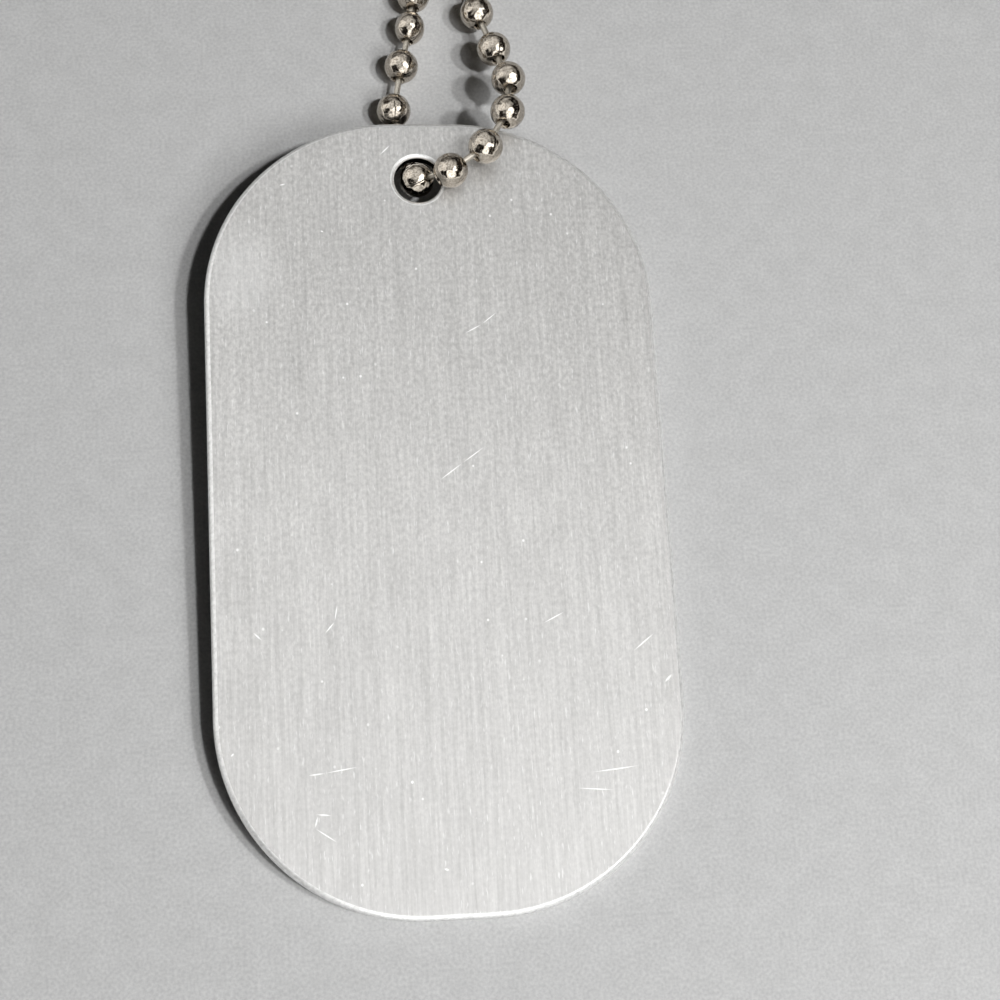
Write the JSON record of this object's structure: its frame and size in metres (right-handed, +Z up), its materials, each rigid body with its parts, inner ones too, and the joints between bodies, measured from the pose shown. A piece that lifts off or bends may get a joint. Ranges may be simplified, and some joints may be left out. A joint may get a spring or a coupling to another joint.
{
  "type": "identification tag on a ball chain",
  "caption": "Flat metal identification tag with round corners and a chain hole, threaded on a closed necklace of hollow ball chain with a sleeve connector, lying flat.",
  "frame": {"origin": "middle of the whole lying piece, on the surface that it lies on", "axes": "+Y from the plate's lower end along the plate and on to the far end of the chain's loop, +X to the right when the plate's face is seen from above, +Z up from the surface"},
  "size_m": [0.1286, 0.3018, 0.0058],
  "materials": {
    "tag_sheet": "sheet aluminium, brushed lengthwise, with a bright rounded edge and fine scratches",
    "chain_metal": "nickel-plated steel, polished, slightly warm"
  },
  "bodies": {
    "root": {"tag_plate": "tag_sheet", "chain_left": "chain_metal", "chain_right": "chain_metal", "connector": "chain_metal"}
  },
  "joints": []
}
